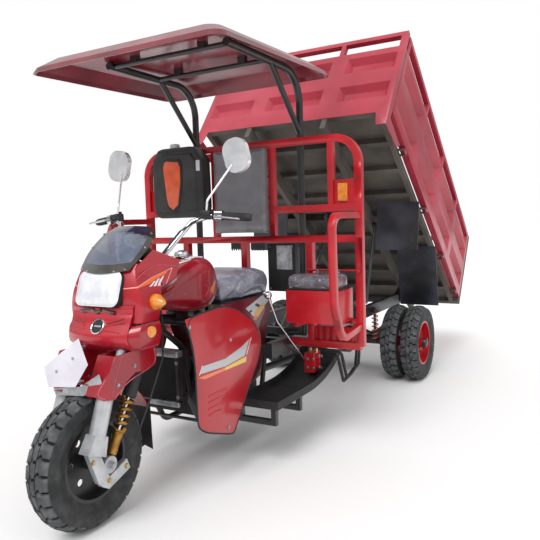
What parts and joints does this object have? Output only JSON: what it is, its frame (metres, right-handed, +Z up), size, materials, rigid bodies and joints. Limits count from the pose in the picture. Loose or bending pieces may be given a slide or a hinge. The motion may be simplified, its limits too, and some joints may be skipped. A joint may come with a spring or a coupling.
{
  "type": "cargo tricycle",
  "caption": "Cargo tricycle with a canopy, side seats behind the rider and a tipping bed on twin rear wheels; steers, rolls, tips, and opens its side boards and tailgate",
  "frame": {"origin": "on the ground, in the middle of the length and the width with the bed tipped", "axes": "+Z up, -Y the way it drives, +X to the rider's left"},
  "size_m": [1.42, 4.2986, 2.3804],
  "materials": {
    "red_paint": "gloss paint",
    "red_gloss": "gloss",
    "maroon_gloss": "gloss",
    "black_paint": "satin paint",
    "coil_paint": "gloss paint",
    "silver_paint": "metallic paint",
    "gold_finish": "anodised gold",
    "white_plastic": "gloss",
    "engine_metal": "cast",
    "chrome_plate": "polished",
    "black_plastic": "matt",
    "black_rubber": "matt",
    "tyre_rubber": "matt",
    "seat_cover": "grained cover",
    "amber_lens": "clear moulded",
    "clear_lens": "clear",
    "smoke_lens": "smoked",
    "bed_grey": "matt primer",
    "grey_sheet": "satin"
  },
  "bodies": {
    "chassis": {"chassis_frame": "black_paint", "rear_axle": "black_paint", "leaf_springs": "black_paint", "rear_shocks": "coil_paint", "head_frame": "red_paint", "armrests": "red_paint", "passenger_boxes": "red_paint", "rider_seat": "seat_cover", "fuel_tank": "red_gloss", "side_cowls": "maroon_gloss", "leg_shields": "red_gloss", "footboards": "black_plastic", "engine": "engine_metal", "drive_shaft": "black_paint", "radiator": "black_plastic", "canopy_frame": "black_paint", "canopy_roof": "maroon_gloss", "water_tank": "black_plastic", "backrest": "seat_cover", "frame_lamps": "amber_lens", "hydraulic_valve": "red_paint", "hydraulic_hoses": "black_rubber", "tipping_lever": "chrome_plate"},
    "steering": {"front_fork": "silver_paint", "front_links": "silver_paint", "front_shocks": "gold_finish", "handlebar": "chrome_plate", "grips": "black_rubber", "mirrors": "chrome_plate", "nose_fairing": "red_gloss", "headlight": "clear_lens", "windscreen": "smoke_lens", "turn_signals": "amber_lens", "lower_cowl": "red_gloss", "front_mudguard": "red_gloss", "mud_flap": "black_rubber", "control_cables": "black_rubber", "number_plate": "white_plastic"},
    "front_wheel": {"front_tyre": "tyre_rubber", "front_rim": "black_paint"},
    "rear_wheels_left": {"rear_tyres_left": "tyre_rubber", "rear_rims_left": "red_paint"},
    "rear_wheels_right": {"rear_tyres_right": "tyre_rubber", "rear_rims_right": "red_paint"},
    "bed": {"bed_frame": "bed_grey", "bed_front": "red_paint", "bed_fenders": "grey_sheet"},
    "side_board_left": {"bed_side_left": "red_paint"},
    "side_board_right": {"bed_side_right": "red_paint"},
    "tailgate": {"tailgate": "red_paint"},
    "ram_barrel": {"cylinder_barrel": "black_paint"},
    "ram_rod": {"cylinder_rod": "chrome_plate"},
    "prop": {"safety_prop": "black_paint"},
    "seat_lid_left": {"passenger_seat_left": "seat_cover"},
    "seat_lid_right": {"passenger_seat_right": "seat_cover"}
  },
  "joints": [
    {"name": "steer", "type": "hinge", "parent": "chassis", "child": "steering", "pos_m": [0, -1.68131, 0.82], "axis": [0, 0.3584, 0.9336], "range_deg": [-38, 38]},
    {"name": "front_wheel_spin", "type": "hinge", "parent": "steering", "child": "front_wheel", "pos_m": [0, -1.87631, 0.273], "axis": [1, 0, 0], "continuous": true},
    {"name": "rear_left_spin", "type": "hinge", "parent": "chassis", "child": "rear_wheels_left", "pos_m": [0, 0.82369, 0.273], "axis": [1, 0, 0], "continuous": true},
    {"name": "rear_right_spin", "type": "hinge", "parent": "chassis", "child": "rear_wheels_right", "pos_m": [0, 0.82369, 0.273], "axis": [1, 0, 0], "continuous": true},
    {"name": "bed_tip", "type": "hinge", "parent": "chassis", "child": "bed", "pos_m": [0, 1.40769, 0.5952], "axis": [-1, 0, 0], "range_deg": [-36.9, 0]},
    {"name": "side_left_drop", "type": "hinge", "parent": "bed", "child": "side_board_left", "pos_m": [0.67, 1.46876, 0.67653], "axis": [0, 0.7997, -0.6004], "range_deg": [0, 150]},
    {"name": "side_right_drop", "type": "hinge", "parent": "bed", "child": "side_board_right", "pos_m": [-0.67, 1.46876, 0.67653], "axis": [0, -0.7997, 0.6004], "range_deg": [0, 150]},
    {"name": "tailgate_swing", "type": "hinge", "parent": "bed", "child": "tailgate", "pos_m": [0, 2.04445, 0.88367], "axis": [1, 0, 0], "range_deg": [0, 85]},
    {"name": "ram_swing", "type": "hinge", "parent": "chassis", "child": "ram_barrel", "pos_m": [0, -0.27631, 0.45], "axis": [1, 0, 0], "range_deg": [-27.08, 0.1]},
    {"name": "ram_slide", "type": "slide", "parent": "ram_barrel", "child": "ram_rod", "axis": [0, 0.7718, 0.6358], "range_m": [-0.45332, 0.0002]},
    {"name": "prop_fold", "type": "hinge", "parent": "bed", "child": "prop", "pos_m": [0.304, 0.68359, 1.15138], "axis": [-1, 0, 0], "range_deg": [-0.1, 102.3]},
    {"name": "seat_left_lift", "type": "hinge", "parent": "chassis", "child": "seat_lid_left", "pos_m": [0.5105, -0.66931, 0.9383], "axis": [-1, 0, 0], "range_deg": [0, 80]},
    {"name": "seat_right_lift", "type": "hinge", "parent": "chassis", "child": "seat_lid_right", "pos_m": [-0.5105, -0.66931, 0.9383], "axis": [-1, 0, 0], "range_deg": [0, 80]}
  ],
  "couplings": [
    {"joint": "ram_swing", "follows": "bed_tip", "ratio": 0.73121},
    {"joint": "ram_slide", "follows": "bed_tip", "m_per_rad": 0.70357},
    {"joint": "prop_fold", "follows": "bed_tip", "ratio": -2.7669}
  ]
}
